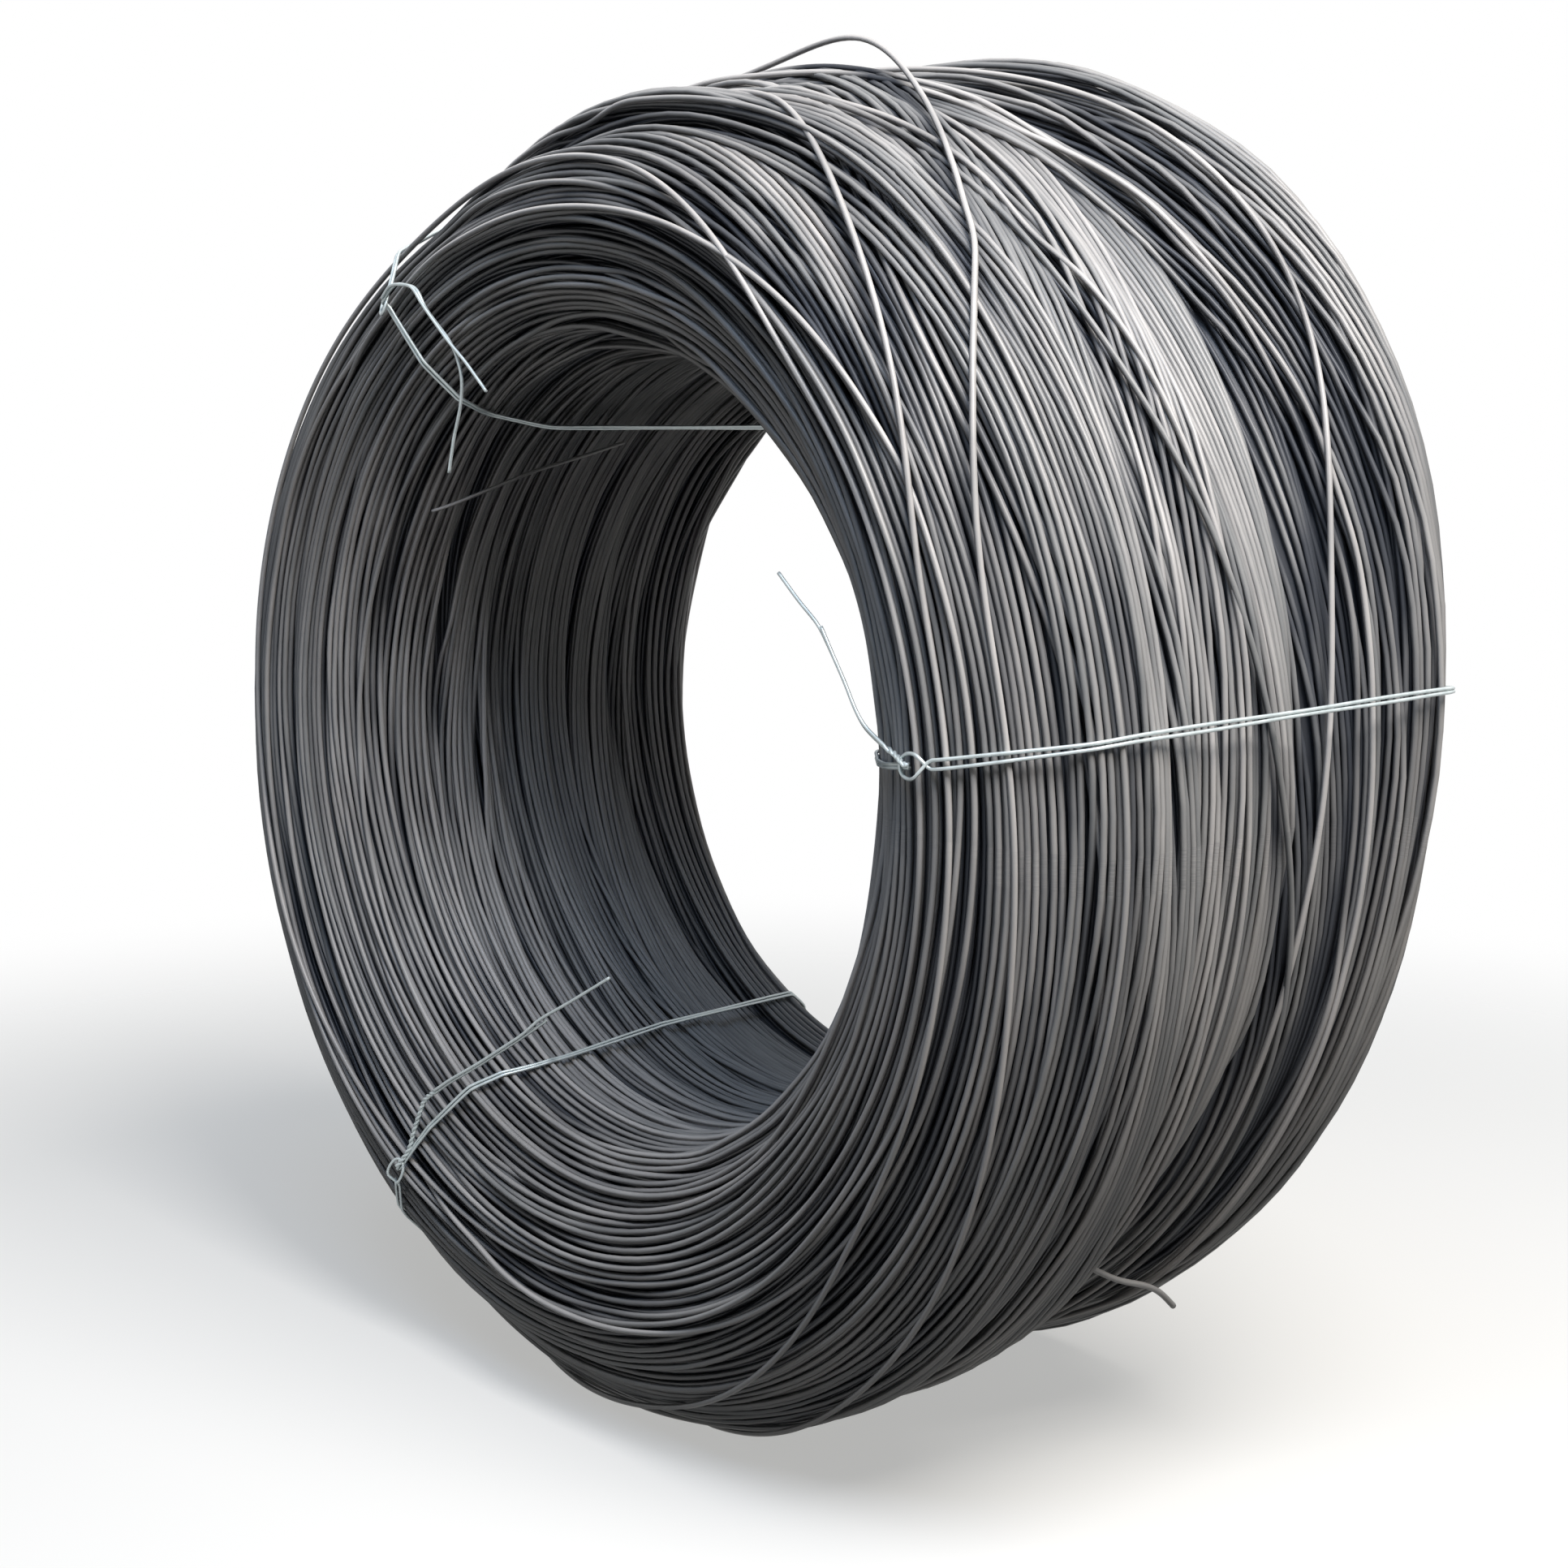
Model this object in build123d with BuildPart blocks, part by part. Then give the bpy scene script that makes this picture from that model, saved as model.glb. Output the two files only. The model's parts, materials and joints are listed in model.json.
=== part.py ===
# Coil of steel wire rod lying on its side, held by three doubled tie wires.
# The coil's axis runs along Y, its front end looks towards -Y and it rests on Z = 0.
import math
import os

from build123d import *

# Coil sizes in millimetres. The bore sits above the middle because the wall of turns sags on to the floor.
core_diameter = 1180.0
bore_diameter = 710.0
bore_rise = 20.0
coil_length = 480.0
lip_depth = 95.0
rod_diameter = 5.5

# Each rounded end shows its turns as ridges, one for each lay of turns.
turns_on_end = 6
turn_relief = rod_diameter

# Looser turns lie over the core in bands, larger towards the back, with a gap half way along.
# Each band: front station, back station and growth. Its middle is raised by the growth and its radius
# is larger by the growth less the tuck, so it sinks into the core towards the floor and stands proud at the top.
loose_bands = [
    (-105.0, -58.0, 6.5),
    (-58.0, -12.0, 10.5),
    (12.0, 58.0, 15.0),
    (58.0, 105.0, 18.5),
    (105.0, 158.0, 22.0),
    (158.0, 200.0, 17.0),
]
band_tuck = 4.0

# Tie wires: each is one soft wire folded double, with an eye and two cut tails at the front end.
tie_wire_diameter = 3.0
tie_clearance = 0.3
strand_gap = 0.3
eye_diameter = 22.0
tie_sides = 4

# Where each tie crosses the wall, in degrees round the coil from its right side.
tie_angles = {"tie_wire_right": 8.0, "tie_wire_upper_left": 120.0, "tie_wire_lower_left": 239.0}

# The tie touches each rounded end along these shares of the half turn from the bore to the outside.
tie_tangent_shares = [0.22, 0.5, 0.78, 1.0]
tie_bend_share = 0.36
seat_bend_radius = 14.0
band_bend_radius = 4.0
overrun = 10.0

# Tail routes from the eye: radius change, distance in front of the eye and sideways shift.
tail_routes = {
    "tie_wire_right": [
        [(-24.0, 7.0, 5.0), (-48.0, 9.0, 26.0), (-78.0, 8.0, 62.0), (-106.0, 5.0, 96.0), (-137.0, 3.0, 138.0)],
        [(-24.0, 7.0, 9.0), (-45.0, 10.0, 32.0), (-72.0, 10.0, 68.0), (-88.0, 10.0, 96.0)],
    ],
    "tie_wire_upper_left": [
        [(-26.0, 6.0, -6.0), (-60.0, 8.0, -14.0), (-98.0, 7.0, -30.0), (-146.0, 2.0, -52.0)],
        [(-26.0, 6.0, -2.0), (-66.0, 10.0, 2.0), (-108.0, 10.0, 4.0), (-148.0, 6.0, 18.0), (-186.0, 0.0, 26.0)],
    ],
    "tie_wire_lower_left": [
        [(-26.0, 6.0, 6.0), (-72.0, 6.0, 14.0), (-122.0, -2.0, 38.0), (-172.0, -12.0, 58.0), (-226.0, -24.0, 84.0)],
        [(-26.0, 6.0, 10.0), (-70.0, 10.0, 20.0), (-116.0, 2.0, 44.0), (-156.0, -4.0, 56.0)],
    ],
}

core_radius = core_diameter / 2
bore_radius = bore_diameter / 2
half_length = coil_length / 2
turned_bore_radius = bore_radius - bore_rise - rod_diameter
half_wall = (core_radius - turned_bore_radius) / 2
crown_radius = core_radius - half_wall
shoulder_station = half_length - lip_depth
tie_radius = tie_wire_diameter / 2
tie_standoff = tie_radius + tie_clearance
strand_shift = tie_radius + strand_gap / 2
seat_depth = tie_wire_diameter + 2 * tie_clearance
seat_width = 2 * tie_wire_diameter + strand_gap + 2 * tie_clearance
eye_radius = (eye_diameter - tie_wire_diameter) / 2

section_plane = Plane.XY.offset(core_radius)
coil_axis = Axis((0, 0, core_radius), (0, 1, 0))


def end_point(share, proud, end):
    """Point on a rounded end, as (radius, station): share 0 is the bore, 1 the outside."""
    angle = math.pi * share
    radius = crown_radius - (half_wall + proud) * math.cos(angle)
    station = shoulder_station + (lip_depth + proud) * math.sin(angle)
    return (radius, end * station)


def end_corner(share_a, share_b, proud, end):
    """Corner where the tangents of a rounded end at two shares meet."""
    angle = math.pi * (share_a + share_b) / 2
    reach = 1 / math.cos(math.pi * (share_b - share_a) / 2)
    radius = crown_radius - (half_wall + proud) * reach * math.cos(angle)
    station = shoulder_station + (lip_depth + proud) * reach * math.sin(angle)
    return (radius, end * station)


def band_radius(band):
    """Radius of a band of looser turns: the core's own under the band's middle, and its growth."""
    front, back, growth = band
    past = max((front + back) / 2 - shoulder_station, 0) / lip_depth
    return crown_radius + half_wall * math.sqrt(1 - past ** 2) + growth - band_tuck


def band_corners(turn):
    """Corners of the bands, as (radius, station) about the core's axis, at an angle round the coil."""
    corners = []
    for band in loose_bands:
        front, back, growth = band
        reach = growth * math.sin(turn) + math.sqrt(band_radius(band) ** 2 - (growth * math.cos(turn)) ** 2)
        corners += [(reach, front), (reach, back)]
    return corners


def end_turns(end):
    """Zigzag of ridges and valleys over one end, from the bore to the outside."""
    points = [end_point(0, 0, end)]
    for turn in range(turns_on_end):
        points.append(end_point((turn + 0.5) / turns_on_end, 0, end))
        if turn < turns_on_end - 1:
            points.append(end_point((turn + 1) / turns_on_end, -turn_relief, end))
    points.append(end_point(1, 0, end))
    return points


def tie_plane(name):
    """Plane through the coil's axis at a tie: x is the radius, y the station, z sideways."""
    turn = math.radians(tie_angles[name])
    outward = (math.cos(turn), 0, math.sin(turn))
    sideways = (-math.sin(turn), 0, math.cos(turn))
    return Plane(origin=(0, 0, core_radius), x_dir=outward, z_dir=sideways)


def bore_reach(name):
    """Distance from the core's axis to the bore's wall at a tie."""
    turn = math.radians(tie_angles[name])
    return bore_rise * math.sin(turn) + math.sqrt(bore_radius ** 2 - (bore_rise * math.cos(turn)) ** 2)


def seat_corner(name, end):
    """Corner where a strand leaves its seat in the bore for the rounded end."""
    touch = end_point(tie_tangent_shares[0], tie_standoff, end)
    corner = end_corner(tie_tangent_shares[0], tie_tangent_shares[1], tie_standoff, end)
    seat_radius = bore_reach(name) + tie_standoff
    slope = (corner[1] - touch[1]) / (corner[0] - touch[0])
    return (seat_radius, touch[1] + slope * (seat_radius - touch[0]))


def tight_corners(points):
    """The corners that a tight wire touches on its way from the front to the back, all others lie under it."""
    kept = []
    for radius, station in sorted(points, key=lambda point: point[1]):
        while len(kept) > 1:
            run = (kept[-1][1] - kept[-2][1], kept[-1][0] - kept[-2][0])
            if run[0] * (radius - kept[-2][0]) < run[1] * (station - kept[-2][1]):
                break
            kept.pop()
        kept.append((radius, station))
    return kept


def clear_corner(before, corner, after):
    """Corner moved off the wall so that both runs of the tie beside it stand off by the same amount."""
    ways = []
    for near, far in ((before, corner), (corner, after)):
        run = Vector(far[0] - near[0], far[1] - near[1]).normalized()
        ways.append(Vector(run.Y, -run.X))
    shift = (ways[0] + ways[1]) * (tie_standoff / (1 + ways[0].dot(ways[1])))
    return (corner[0] + shift.X, corner[1] + shift.Y)


def strand_route(name):
    """Route of a strand round the coil's wall, from the eye outwards and back through the bore."""
    turn = math.radians(tie_angles[name])
    pairs = list(zip(tie_tangent_shares, tie_tangent_shares[1:]))
    front = [end_corner(a, b, 0, -1) for a, b in pairs]
    back = [end_corner(a, b, 0, 1) for a, b in pairs]
    over = [front[0], *tight_corners([*front[1:], *band_corners(turn), *back[1:]]), back[0]]
    clear = [clear_corner(*three) for three in zip(over, over[1:], over[2:])]
    bent = [moved for moved, corner in zip(clear, over[1:]) if corner in band_corners(turn)]
    front_eye, back_corner = [end_corner(*pairs[0], tie_standoff, end) for end in (-1, 1)]
    start = (front_eye[0] + eye_radius, front_eye[1])
    seat_front = seat_corner(name, -1)
    rise = Vector(front_eye[0] - seat_front[0], front_eye[1] - seat_front[1]).normalized()
    finish = (front_eye[0] - eye_radius * rise.X, front_eye[1] - eye_radius * rise.Y)
    return [start, *clear, back_corner, seat_corner(name, 1), seat_front, finish], bent


def bend_radii(points, bends):
    """Radius of each bend: the one given for its corner, and never more than its two runs allow."""
    radii = []
    for before, corner, after in zip(points, points[1:], points[2:]):
        run_in = Vector(corner) - Vector(before)
        run_out = Vector(after) - Vector(corner)
        half_turn = math.radians(run_in.get_angle(run_out)) / 2
        widest = tie_bend_share * min(run_in.length, run_out.length) / math.tan(half_turn)
        radii.append(min(bends.get(corner, widest), widest))
    return radii


with BuildPart() as wire_coil:
    front_turns = end_turns(-1)
    back_turns = end_turns(1)
    with BuildSketch(section_plane):
        with BuildLine():
            Polyline(*front_turns, *reversed(back_turns), close=True)
        make_face()
    revolve(axis=coil_axis)
    for band in loose_bands:
        front, back, growth = band
        with BuildSketch(section_plane.offset(growth)):
            with Locations((band_radius(band), front)):
                Rectangle(half_wall, back - front, align=(Align.MAX, Align.MIN))
        revolve(axis=Axis((0, 0, core_radius + growth), (0, 1, 0)))
    with Locations(Plane(origin=(0, 0, core_radius + bore_rise), z_dir=(0, 1, 0))):
        Cylinder(bore_radius, coil_length + overrun, mode=Mode.SUBTRACT)
    for name in tail_routes:
        seat = tie_plane(name)
        with BuildSketch(Plane(origin=seat.origin, x_dir=seat.x_dir, z_dir=seat.y_dir)):
            with Locations((bore_reach(name) + seat_depth, 0)):
                Rectangle(seat_depth + overrun, seat_width, align=(Align.MAX, Align.CENTER))
        extrude(amount=half_length + overrun, both=True, mode=Mode.SUBTRACT)
wire_coil.part.label = "wire_coil"

eye_place = end_corner(tie_tangent_shares[0], tie_tangent_shares[1], tie_standoff, -1)
ties = []
for name, tails in tail_routes.items():
    plane = tie_plane(name)
    eye_centre = plane.from_local_coords((*eye_place, 0))
    route_points, bent = strand_route(name)
    with BuildPart() as tie:
        for side, tail in zip((-1, 1), tails):
            shift = side * strand_shift
            loop = [(radius, station, shift) for radius, station in route_points]
            bends = {(*corner, shift): band_bend_radius for corner in bent}
            bends.update({(*seat_corner(name, end), shift): seat_bend_radius for end in (-1, 1)})
            root = (eye_place[0] - eye_radius, eye_place[1], shift)
            tail_points = [(eye_place[0] + d, eye_place[1] - f, shift + s) for d, f, s in tail]
            for points in (loop, [root, *tail_points]):
                with BuildLine(plane) as route:
                    FilletPolyline(*points, radius=bend_radii(points, bends))
                with BuildSketch(Plane(origin=route.line @ 0, z_dir=route.line % 0)):
                    RegularPolygon(tie_radius, tie_sides)
                sweep(path=route.line)
        with BuildSketch(Plane(origin=eye_centre, x_dir=plane.x_dir, z_dir=plane.z_dir)):
            with Locations((eye_radius, 0)):
                RegularPolygon(tie_radius, tie_sides)
        revolve(axis=Axis(eye_centre, plane.y_dir))
    tie.part.label = name
    ties.append(tie)

os.makedirs("parts", exist_ok=True)
export_step(wire_coil.part, "parts/wire_coil.step")
for tie in ties:
    export_step(tie.part, f"parts/{tie.part.label}.step")
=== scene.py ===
import json
import math

import bpy
import numpy as np
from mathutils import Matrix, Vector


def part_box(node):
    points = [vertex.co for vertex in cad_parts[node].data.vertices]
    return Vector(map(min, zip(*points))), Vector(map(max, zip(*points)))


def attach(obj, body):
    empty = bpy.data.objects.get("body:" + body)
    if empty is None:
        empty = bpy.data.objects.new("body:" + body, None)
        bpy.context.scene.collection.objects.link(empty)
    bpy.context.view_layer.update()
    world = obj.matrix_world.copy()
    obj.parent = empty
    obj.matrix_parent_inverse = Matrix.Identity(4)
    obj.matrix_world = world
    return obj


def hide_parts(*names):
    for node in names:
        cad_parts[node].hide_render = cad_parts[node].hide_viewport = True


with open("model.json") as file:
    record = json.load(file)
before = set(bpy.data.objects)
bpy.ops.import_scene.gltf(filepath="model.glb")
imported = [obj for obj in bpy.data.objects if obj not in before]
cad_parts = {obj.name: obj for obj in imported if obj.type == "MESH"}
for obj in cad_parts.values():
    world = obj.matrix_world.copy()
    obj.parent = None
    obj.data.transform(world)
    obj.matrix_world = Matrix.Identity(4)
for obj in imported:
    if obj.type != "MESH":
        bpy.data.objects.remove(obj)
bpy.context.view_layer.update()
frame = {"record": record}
mm = 0.001
random = np.random.default_rng(41)
phases = (0, 6.28)  # a random phase lies between these

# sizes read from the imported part
coilLow, coilHigh = (np.array(corner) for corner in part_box("wire_coil"))
bore = frame["record"]["mounts"][0]
boreRadius = bore["dims"]["r_mm"] * mm
boreHeight = bore["pos_m"][2]
crown = 3 * mm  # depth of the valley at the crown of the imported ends
halfLength = (coilHigh[1] - coilLow[1]) / 2 + crown
shoulder = 145 * mm  # half the straight stretch between the rounded ends
coreRadius = 590 * mm  # the core rests on the floor, and its bore sits a little higher than its middle
tuck = 4 * mm  # how far the looser turns sink into the core at the floor
growth = (coilHigh[0] - coilLow[0]) / 2 - coreRadius + tuck  # how much larger the loosest turns are

coil = dict(
    rod=5.5 * mm,  # wire rod diameter
    sides=5,  # sides of one rod
    inset=16 * mm,  # depth of the two loose lays shown turn by turn
    grip=0.82,  # neighbours press together to this share of a rod before one climbs
    angles=120,  # points round one turn
    cells=1700,  # points round the section
    endPoints=800,  # points that draw each rounded end
    # u in mm from the middle of the outside, and the share of the growth there
    loose=[(-126, 0.09), (131, 1.0), (158, 1.0), (181, 0.77), (208, 0.5), (250, 0.09)],
)
rodRadius = coil["rod"] / 2
gripRadius = coil["grip"] * rodRadius


# sRGB hex to linear: each channel through the sRGB curve
def hexColour(text):
    value = np.array([int(text[i:i + 2], 16) for i in (1, 3, 5)]) / 255
    linear = np.where(value <= 0.04045, value / 12.92, ((value + 0.055) / 1.055) ** 2.4)
    return (*[float(v) for v in linear], 1.0)


# one node: its settings, then each input as a value or a link
def addNode(tree, kind, settings=None, inputs=None):
    made = tree.nodes.new(kind)
    for key, value in (settings or {}).items():
        setattr(made, key, value)
    for key, value in (inputs or {}).items():
        if isinstance(value, bpy.types.NodeSocket):
            tree.links.new(value, made.inputs[key])
        else:
            made.inputs[key].default_value = value
    return made


# a mesh from whole arrays: points, quads and one number per point for each attribute
def makeMesh(name, points, quads, attributes, material):
    points = points.reshape(-1, 3)
    quads = quads.reshape(-1, 4)
    mesh = bpy.data.meshes.new(name)
    mesh.vertices.add(len(points))
    mesh.vertices.foreach_set("co", points.astype(np.float32).ravel())
    mesh.loops.add(quads.size)
    mesh.loops.foreach_set("vertex_index", quads.astype(np.int32).ravel())
    mesh.polygons.add(len(quads))
    mesh.polygons.foreach_set("loop_start", np.arange(0, quads.size, 4, dtype=np.int32))
    mesh.polygons.foreach_set("use_smooth", np.ones(len(quads), bool))
    mesh.update(calc_edges=True)
    for key, values in attributes.items():
        numbers = values.astype(np.float32).ravel()
        mesh.attributes.new(key, "FLOAT", "POINT").data.foreach_set("value", numbers)
    mesh.materials.append(material)
    made = bpy.data.objects.new(name, mesh)
    bpy.context.scene.collection.objects.link(made)
    return made


# each vector over its own length
def unit(vectors):
    return vectors / np.linalg.norm(vectors, axis=-1, keepdims=True)


# length along a path up to each of its points
def lengthAlong(points):
    return np.concatenate([[0], np.cumsum(np.linalg.norm(np.diff(points, axis=0), axis=1))])


# the wall's section in equal steps, with its outward normals: half an ellipse over the front,
# the straight outside, half an ellipse over the back and the straight bore
def sectionOutline():
    share = np.linspace(0, math.pi, coil["endPoints"])
    wall = coreRadius - boreRadius - 2 * coil["inset"]
    middle = (coreRadius + boreRadius) / 2
    lip = halfLength - coil["inset"] - shoulder
    radius = middle - wall / 2 * np.cos(share)
    station = shoulder + lip * np.sin(share)
    front = np.stack([radius, -station], 1)
    back = np.stack([radius, station], 1)[::-1]
    loop = np.concatenate([front, back, front[:1]])
    run = lengthAlong(loop)
    even = np.arange(coil["cells"]) * run[-1] / coil["cells"]
    points = np.stack([np.interp(even, run, loop[:, k]) for k in (0, 1)], 1)
    along = unit(np.roll(points, -1, 0) - np.roll(points, 1, 0))
    normals = np.stack([along[:, 1], -along[:, 0]], 1)
    return points, normals, run[-1], run[len(share) - 1]


section, sectionNormal, girth, frontRun = sectionOutline()
step = girth / coil["cells"]
middleRun = frontRun + shoulder  # run at the middle of the outside, where u is 0
columns = np.arange(coil["angles"])
angle = columns * 2 * math.pi / coil["angles"]


# (radius, station, angle) to the frame: the middle goes from the bore's to the core's
def fromFlat(radius, station, turn):
    share = np.clip((radius - boreRadius) / (coreRadius - boreRadius), 0, 1)
    middle = boreHeight + (coreRadius - boreHeight) * share
    return np.stack([radius * np.cos(turn), station + 0 * turn, middle + radius * np.sin(turn)], -1)


# the point at a run round the section, a height off it and an angle round the axis, and its section normal
def onCoil(run, height, turn):
    cell = np.mod(run / step, coil["cells"])
    low = np.floor(cell).astype(int)
    part = (cell - low)[..., None]
    low = low % coil["cells"]
    high = (low + 1) % coil["cells"]
    flat = section[low] * (1 - part) + section[high] * part
    normal = unit(sectionNormal[low] * (1 - part) + sectionNormal[high] * part)
    flat = flat + normal * np.asarray(height)[..., None]
    return fromFlat(flat[..., 0], flat[..., 1], turn), normal


# a section normal turned to an angle round the axis
def outwards(normal, turn):
    across = normal[..., 0]
    return np.stack([across * np.cos(turn), normal[..., 1] + 0 * turn, across * np.sin(turn)], -1)


# degrees from a middle angle to each point round a turn, between -180 and 180
def awayFrom(middle):
    return np.mod(np.degrees(angle) - middle + 180, 360) - 180


# the cell of the section that a run falls in: run over step, rounded down
def cellAt(run):
    return np.floor(run / step).astype(int) % coil["cells"]


# the point round a turn that is nearest to an angle: angle over the first one, rounded
def columnAt(turn):
    return np.round(turn / angle[1]).astype(int) % coil["angles"]


# hollows between bundles: u and width in mm, depth in mm, middle angle and half span in degrees,
# lean in mm a degree
hollows = [
    dict(u=32, width=11, depth=20, angle=-8, span=80, lean=0.7),  # the long gap half way along
    dict(u=-190, width=13, depth=18, angle=84, span=26, lean=0.0),
    dict(u=-84, width=8, depth=13, angle=40, span=45, lean=1.0),
    dict(u=92, width=8, depth=7, angle=30, span=60, lean=0.7),
    dict(u=-140, width=8, depth=11, angle=-30, span=50, lean=-0.4),
    dict(u=-300, width=8, depth=9, angle=200, span=60, lean=0.3),
    dict(u=170, width=60, depth=-45, angle=47, span=23, lean=0.0),  # a rise: the loosest turns stand up
    dict(u=-160, width=110, depth=48, angle=114, span=28, lean=0.0),  # pressed down by the tie
    dict(u=0, width=26, depth=26, angle=-62, span=28, lean=0.0),  # the gap is widest near the floor
    dict(u=-90, width=70, depth=15, angle=-78, span=24, lean=0.0),
    dict(u=85, width=50, depth=26, angle=-64, span=18, lean=0.0),
    dict(u=190, width=70, depth=10, angle=-35, span=30, lean=0.0),
]
smallHollows = 22  # anywhere round the coil, each size between these two
smallSizes = dict(u=(-600, 650), width=(5, 8), depth=(6, 12), angle=(0, 360), span=(25, 60), lean=(-0.8, 0.8))
for _ in range(smallHollows):
    hollows.append({key: random.uniform(*ends) for key, ends in smallSizes.items()})


# looser turns hang to the floor: growth x its share x (1 + sin angle) - tuck, never below 0;
# each hollow then takes away depth x a bell over its width x a bell over its span
def groundField():
    u = (np.arange(coil["cells"]) * step - middleRun)[:, None] / mm
    place, share = np.array(coil["loose"]).T
    loose = np.maximum(growth * np.interp(u, place, share) * (1 + np.sin(angle))[None, :] - tuck, 0)
    field = loose.copy()
    for dip in hollows:
        away = awayFrom(dip["angle"])
        centre = dip["u"] + dip["lean"] * away
        across = np.exp(-((u - centre[None, :]) / dip["width"]) ** 2)
        field -= dip["depth"] * mm * across * np.exp(-(away / dip["span"]) ** 2)
    return loose, field


packed, ground = groundField()
surface = ground.copy()  # tops of all that is laid so far
print("section:", coil["cells"], "cells,", round(girth / mm), "mm round, with", len(hollows), "hollows")

lay = dict(
    stiff=12,  # points either side of a high place that the rod's stiffness holds up
    under=-1.0,  # stands for nothing there
    swayCount=6,  # slow waves that the first lay follows
    swayAcross=(2, 7),  # whole waves round the section
    swayAround=(1, 4),  # whole waves round the turn
    swaySize=(3, 7),  # mm
    first=212,  # turns laid side by side
    firstWander=[0.5 * mm, 0.4 * mm, 0.3 * mm],
    firstTone=(0, 0.7),
    second=410,  # turns laid over them in loose bundles
    bundle=(4, 15),  # turns in a bundle
    bundleWander=[24 * mm, 14 * mm, 7 * mm, 3 * mm],
    bundleTone=(0.1, 0.9),
    drift=88 * mm,  # how far bundles cross over the top
    endShare=0.22,  # share of the drift on the ends and in the bore
    tries=14,  # places tried for each bundle, of which the lowest is taken
    probes=9,  # points across a bundle that are looked at
    pitch=1.0,  # spacing in a bundle as a share of the rod
    fan=(0.1, 0.45),  # how far a bundle opens at one side, as a share of the rod
    fanPower=6,  # a higher power opens it over a shorter stretch
    turnWander=[0.9 * mm, 0.6 * mm, 0.4 * mm],
    toneSpread=0.16,
    gap=4 * mm,  # half the width that bundles leave open half way along
    gapSpan=55,  # degrees over which they leave it open
    gapCost=0.1,  # how much higher a place over the gap counts, in metres
    boreCost=4 * mm,  # how much higher a place in the bore counts
    singles=12,  # lone turns that cross the others
    singleWander=[16 * mm, 9 * mm, 5 * mm],
    singleDrift=75 * mm,
    singleTone=(0.4, 0.9),
    top=75,  # degrees, where turns are loosest
    topSpan=50,
    topCross=30,  # degrees over which a bundle crosses the top
    topLeast=0.45,
    topMore=1.1,
)


# each point of a closed turn averaged with its two neighbours, counted twice itself
def soften(values, passes):
    for _ in range(passes):
        values = (np.roll(values, 1) + 2 * values + np.roll(values, -1)) / 4
    return values


# a turn rests on the highest thing under it, bridges dips as a stiff wire does (each point stands no lower
# than its neighbours less sag x distance squared), and becomes part of the surface
def layTurn(run, lift=0.0, sag=1.3 * mm, passes=1, bridge=4.5 * mm):
    reach = int(gripRadius / step) + 1
    cells = np.floor(run / step).astype(int)[None, :] + np.arange(-reach, reach + 2)[:, None]
    beside = np.abs(cells * step - run[None, :])
    rise = rodRadius * np.sqrt(np.clip(1 - (beside / gripRadius) ** 2, 0, None))
    here = (cells % coil["cells"], columns[None, :])
    resting = np.where(beside < gripRadius, surface[here] + rise, lay["under"]).max(0)
    held = range(-lay["stiff"], lay["stiff"] + 1)
    height = np.max([np.roll(resting, k) - sag * k * k for k in held], axis=0)
    height = np.minimum(height, resting + bridge)
    height = soften(height, passes) + lift
    tops = np.where(beside < gripRadius, height[None, :] + rise, lay["under"])
    surface[here] = np.maximum(surface[here], tops)
    return height


# a sum of sines round the turn, one for each size, each with a random phase
def wander(sizes):
    orders = np.arange(1, len(sizes) + 1)
    starts = random.uniform(0, 2 * math.pi, len(sizes))
    return (np.array(sizes)[:, None] * np.sin(orders[:, None] * angle[None, :] + starts[:, None])).sum(0)


fromTop = awayFrom(lay["top"])
topLoose = lay["topLeast"] + lay["topMore"] * np.exp(-(fromTop / lay["topSpan"]) ** 2)
# a step across the top, undone over the rest of the turn
topDrift = np.tanh(fromTop / lay["topCross"]) - np.interp(fromTop, [-180, 0, 180], [-1, 0, 1])
longGap = hollows[0]
gapAway = awayFrom(longGap["angle"])
gapRun = middleRun + (longGap["u"] + longGap["lean"] * gapAway) * mm
gapShare = np.exp(-(gapAway / lay["gapSpan"]) ** 2)
runs, heights, tones = [], [], []


# a random place, plus a wander that is larger over the top, plus a drift across the top;
# both are smaller on the ends and in the bore
def loosePath(sizes, drift):
    start = random.uniform(0, girth)
    outside = 1.0 if abs(start - middleRun) < shoulder else lay["endShare"]
    sway = wander(random.normal(0, sizes)) * topLoose * math.sqrt(outside)
    return start + sway + random.normal(0, drift) * outside * topDrift


# how high a bundle would lie: the mean round the turn of the highest thing across its width,
# plus a cost where it covers the gap and a cost in the bore
def levelOf(path, count):
    width = np.linspace(-count / 2, count / 2, lay["probes"])[:, None] * lay["pitch"] * coil["rod"]
    cells = np.floor(path[None, :] / step + width / step).astype(int) % coil["cells"]
    level = (surface - ground)[cells, columns[None, :]].max(0).mean()
    half = count / 2 * lay["pitch"] * coil["rod"] + lay["gap"]
    covered = (gapShare * (np.abs(path - gapRun) < half)).mean()
    inBore = abs(path.mean() - middleRun) > girth / 2 - shoulder
    return level + lay["gapCost"] * covered + lay["boreCost"] * inBore


# lays one turn and notes where it went
def keepTurn(run, tone, **how):
    runs.append(run)
    heights.append(layTurn(run, **how))
    tones.append(float(np.clip(tone, 0, 1)))


waves = []
for _ in range(lay["swayCount"]):
    across = random.integers(*lay["swayAcross"])
    around = random.integers(*lay["swayAround"])
    phase = random.uniform(*phases)
    waves.append((across, around, phase, random.uniform(*lay["swaySize"]) * mm))
for start in random.permutation(lay["first"]):
    base = (start + 0.5) * girth / lay["first"]
    sway = sum(size * np.sin(2 * math.pi * n * base / girth + m * angle + p) for n, m, p, size in waves)
    path = base + sway + wander(lay["firstWander"])
    keepTurn(path, random.uniform(*lay["firstTone"]))
print("first lay:", len(runs), "turns")

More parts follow.
